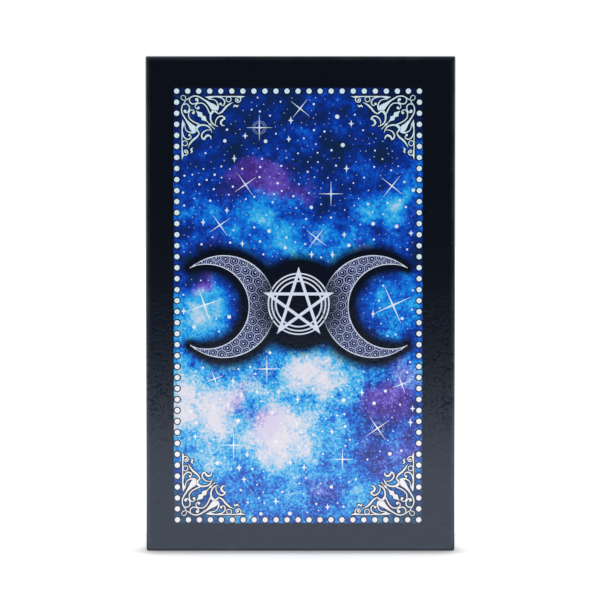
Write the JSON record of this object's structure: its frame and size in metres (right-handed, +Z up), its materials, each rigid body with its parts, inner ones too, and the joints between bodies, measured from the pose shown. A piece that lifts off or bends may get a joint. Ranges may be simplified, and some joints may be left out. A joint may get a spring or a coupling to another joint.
{
  "type": "boxed tarot card deck",
  "caption": "Tarot card deck in a two-piece wrapped board box: a telescoping lid with a starry triple-moon front over a base that holds the cards and a stapled guidebook.",
  "frame": {"origin": "middle of the footprint, on the surface that the box stands on", "axes": "+Z up along the box's height, +X across its width to the viewer's right, +Y from the printed front to the back"},
  "size_m": [0.083, 0.038, 0.1331],
  "materials": {
    "printed_wrap": "black art paper with a gloss film and a printed front",
    "black_wrap": "black art paper with a satin film",
    "greyboard": "solid grey pulp board, uncoated",
    "black_lining": "uncoated black lining paper",
    "kraft_stay": "gummed kraft paper tape",
    "card_stock": "coated playing-card stock, printed on both faces",
    "cover_stock": "coated cover paper",
    "book_paper": "uncoated book paper",
    "staple_wire": "zinc-plated stitching wire"
  },
  "bodies": {
    "base": {"base_board": "greyboard", "base_wrap": "black_wrap", "base_liner": "black_lining", "base_corner_stays": "kraft_stay"},
    "lid": {"lid_board": "greyboard", "lid_wrap": "printed_wrap", "lid_liner": "black_lining", "lid_corner_stays": "kraft_stay"},
    "guidebook": {"guidebook_cover": "cover_stock", "guidebook_sheets": "book_paper", "guidebook_staples": "staple_wire"},
    "major_arcana": {"major_00": "card_stock", "major_01": "card_stock", "major_02": "card_stock", "major_03": "card_stock", "major_04": "card_stock", "major_05": "card_stock", "major_06": "card_stock", "major_07": "card_stock", "major_08": "card_stock", "major_09": "card_stock", "major_10": "card_stock", "major_11": "card_stock", "major_12": "card_stock", "major_13": "card_stock", "major_14": "card_stock", "major_15": "card_stock", "major_16": "card_stock", "major_17": "card_stock", "major_18": "card_stock", "major_19": "card_stock", "major_20": "card_stock", "major_21": "card_stock"},
    "wands": {"wands_king": "card_stock", "wands_queen": "card_stock", "wands_knight": "card_stock", "wands_page": "card_stock", "wands_pips": "card_stock"},
    "cups": {"cups_king": "card_stock", "cups_queen": "card_stock", "cups_knight": "card_stock", "cups_page": "card_stock", "cups_pips": "card_stock"},
    "swords": {"swords_king": "card_stock", "swords_queen": "card_stock", "swords_knight": "card_stock", "swords_page": "card_stock", "swords_pips": "card_stock"},
    "pentacles": {"pentacles_king": "card_stock", "pentacles_queen": "card_stock", "pentacles_knight": "card_stock", "pentacles_page": "card_stock", "pentacles_pips": "card_stock"}
  },
  "joints": [
    {"name": "lid_lift", "type": "slide", "parent": "base", "child": "lid", "axis": [0, -1, 0], "range_m": [0, 0.2]},
    {"name": "guidebook_lift", "type": "slide", "parent": "base", "child": "guidebook", "axis": [0, -1, 0], "range_m": [0, 0.161]},
    {"name": "major_arcana_lift", "type": "slide", "parent": "base", "child": "major_arcana", "axis": [0, -1, 0], "range_m": [0, 0.141]},
    {"name": "wands_lift", "type": "slide", "parent": "base", "child": "wands", "axis": [0, -1, 0], "range_m": [0, 0.121]},
    {"name": "cups_lift", "type": "slide", "parent": "base", "child": "cups", "axis": [0, -1, 0], "range_m": [0, 0.101]},
    {"name": "swords_lift", "type": "slide", "parent": "base", "child": "swords", "axis": [0, -1, 0], "range_m": [0, 0.081]},
    {"name": "pentacles_lift", "type": "slide", "parent": "base", "child": "pentacles", "axis": [0, -1, 0], "range_m": [0, 0.061]}
  ],
  "couplings": [
    {"joint": "guidebook_lift", "follows": "lid_lift", "ratio": 0.8},
    {"joint": "major_arcana_lift", "follows": "lid_lift", "ratio": 0.7},
    {"joint": "wands_lift", "follows": "lid_lift", "ratio": 0.6},
    {"joint": "cups_lift", "follows": "lid_lift", "ratio": 0.5},
    {"joint": "swords_lift", "follows": "lid_lift", "ratio": 0.4},
    {"joint": "pentacles_lift", "follows": "lid_lift", "ratio": 0.3}
  ]
}
